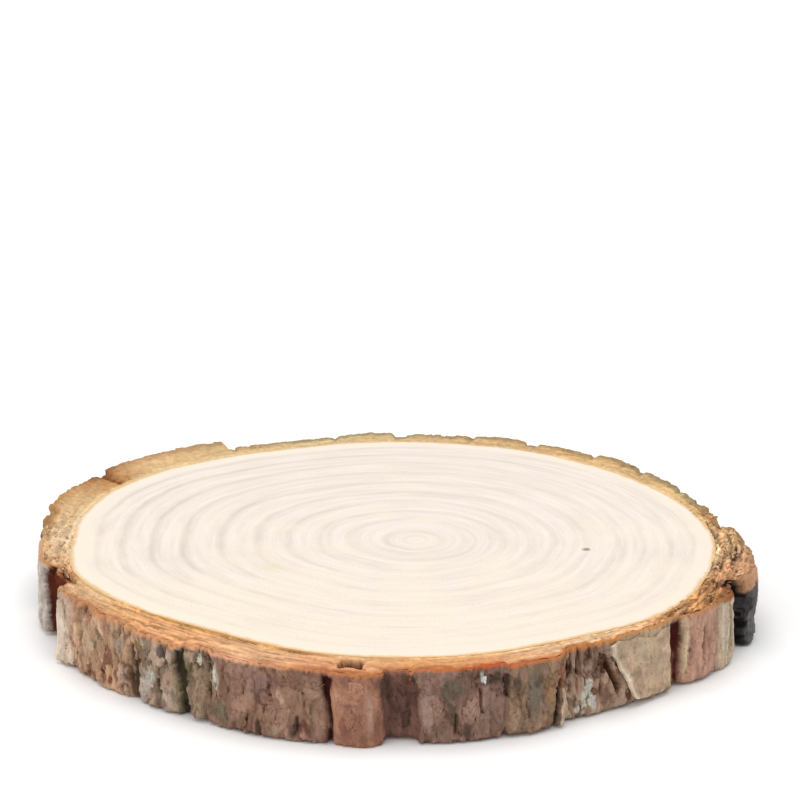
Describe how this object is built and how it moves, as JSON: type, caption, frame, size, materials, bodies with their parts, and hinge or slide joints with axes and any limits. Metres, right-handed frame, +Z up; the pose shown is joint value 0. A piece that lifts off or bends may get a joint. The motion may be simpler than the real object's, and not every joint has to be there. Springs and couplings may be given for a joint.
{
  "type": "wood slice",
  "caption": "Round slice sawn across a young trunk, pale wood inside a rim of rough plated bark, lying flat.",
  "frame": {"origin": "middle of the outline at the level of the surface that the slice lies on", "axes": "+Z up through the slice's thickness, from the underside to the top face; -Y is the side seen in front"},
  "size_m": [0.0996, 0.0992, 0.0114],
  "materials": {
    "sawn_wood": "dry sawn end grain, matte",
    "inner_bark": "dry fibrous cut bark, matte",
    "outer_bark": "rough weathered bark, matte",
    "lichen": "dry crusted lichen, matte"
  },
  "bodies": {
    "root": {"wood_slice": "sawn_wood"}
  },
  "joints": []
}
